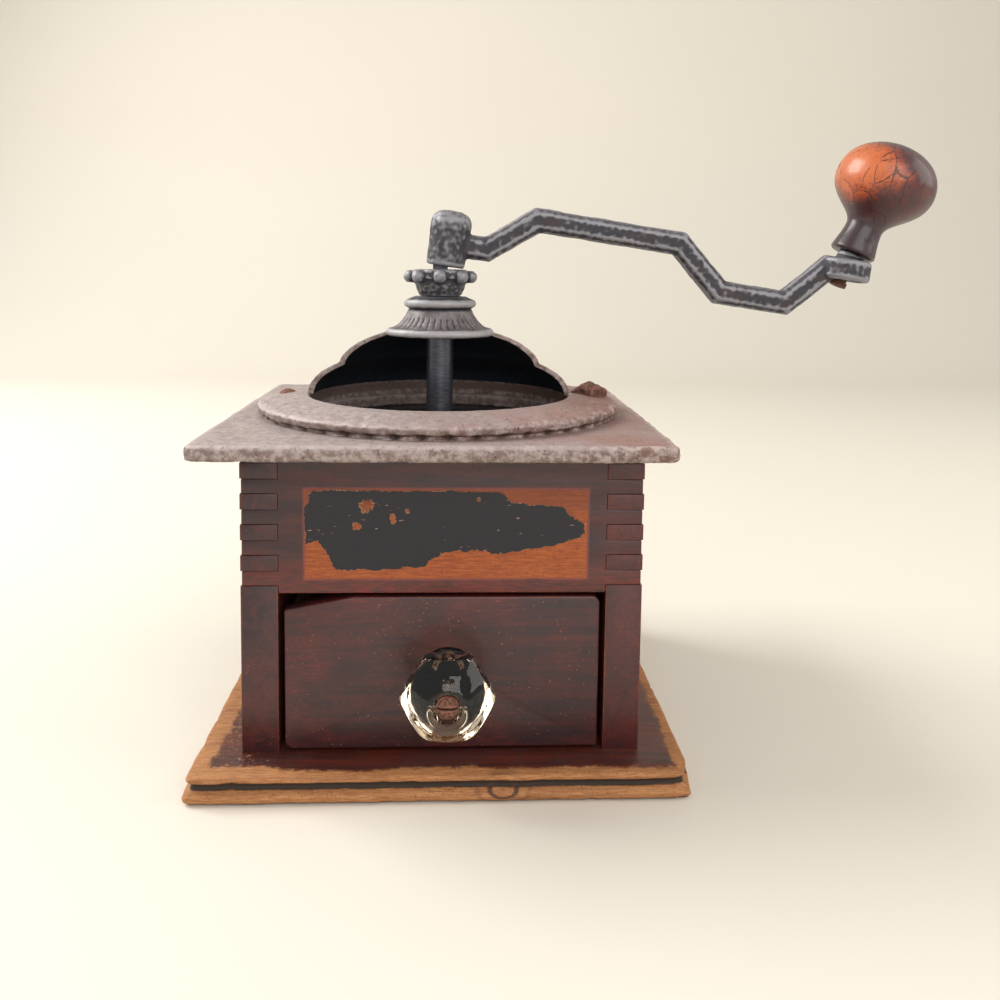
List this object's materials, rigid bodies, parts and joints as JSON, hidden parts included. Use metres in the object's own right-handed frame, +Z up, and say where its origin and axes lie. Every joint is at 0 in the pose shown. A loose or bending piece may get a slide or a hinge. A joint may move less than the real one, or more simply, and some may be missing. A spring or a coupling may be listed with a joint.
{
  "type": "lap coffee mill",
  "caption": "Wooden box coffee mill with a drawer, a cast iron top with half-open domed hopper, cranked handle with turned knob and glass drawer knob.",
  "frame": {"origin": "middle of the base board's underside, on the surface that the mill stands on", "axes": "+X to the right of the drawer's front, the way the crank points at rest; +Y from the drawer's front to the back; +Z up along the spindle"},
  "size_m": [0.2887, 0.1836, 0.2339],
  "materials": {
    "board_wood": "old varnish worn to bare wood along the moulded edge",
    "side_wood": "dark oxblood varnish, worn at the corners",
    "rail_wood": "dark oxblood varnish with the remains of a blank paper label",
    "drawer_wood": "dark oxblood varnish with small chips",
    "raw_wood": "bare, aged softwood",
    "knob_wood": "turned, polished by hands, stain worn to orange on one side",
    "plate_iron": "rough, pitted, thin pinkish rust",
    "hopper_iron": "rough, pitted, thin pinkish rust on worn grey iron",
    "crank_iron": "blue-black iron, greyer on its worn edges",
    "mill_iron": "dark cast iron",
    "spindle_steel": "dull turned steel",
    "rusty_steel": "steel with heavy red-brown rust",
    "plain_steel": "dull steel",
    "knob_glass": "clear pressed glass with a faint warm tint"
  },
  "bodies": {
    "mill": {"base_board": "board_wood", "left_side": "side_wood", "right_side": "side_wood", "front_rail": "rail_wood", "back_panel": "rail_wood", "base_screws": "plain_steel", "top_plate": "plate_iron", "hopper_hood": "hopper_iron", "round_screw": "rusty_steel", "square_screw": "rusty_steel", "grinding_shell": "mill_iron", "shell_screws": "plain_steel", "steady_bar": "mill_iron", "bar_screws": "plain_steel"},
    "crank": {"spindle": "spindle_steel", "inner_burr": "mill_iron", "burr_pin": "plain_steel", "crank_arm": "crank_iron", "knob_rivet": "plain_steel"},
    "nut": {"adjusting_nut": "crank_iron"},
    "knob": {"crank_knob": "knob_wood"},
    "drawer": {"drawer_front": "drawer_wood", "drawer_left": "raw_wood", "drawer_right": "raw_wood", "drawer_back": "raw_wood", "drawer_bottom": "raw_wood", "glass_knob": "knob_glass", "glass_bolt": "rusty_steel", "glass_washer": "plain_steel", "glass_nut": "plain_steel"}
  },
  "joints": [
    {"name": "crank_turn", "type": "hinge", "parent": "mill", "child": "crank", "pos_m": [-0.003, 0, 0.16], "axis": [0, 0, 1], "continuous": true},
    {"name": "nut_turn", "type": "hinge", "parent": "crank", "child": "nut", "pos_m": [-0.003, 0, 0.173], "axis": [0, 0, 1], "range_deg": [-360, 360]},
    {"name": "knob_spin", "type": "hinge", "parent": "crank", "child": "knob", "pos_m": [0.16637, 0, 0.18065], "axis": [0.3987, 0, 0.9171], "continuous": true},
    {"name": "drawer_slide", "type": "slide", "parent": "mill", "child": "drawer", "axis": [0, -1, 0], "range_m": [0, 0.095]}
  ]
}
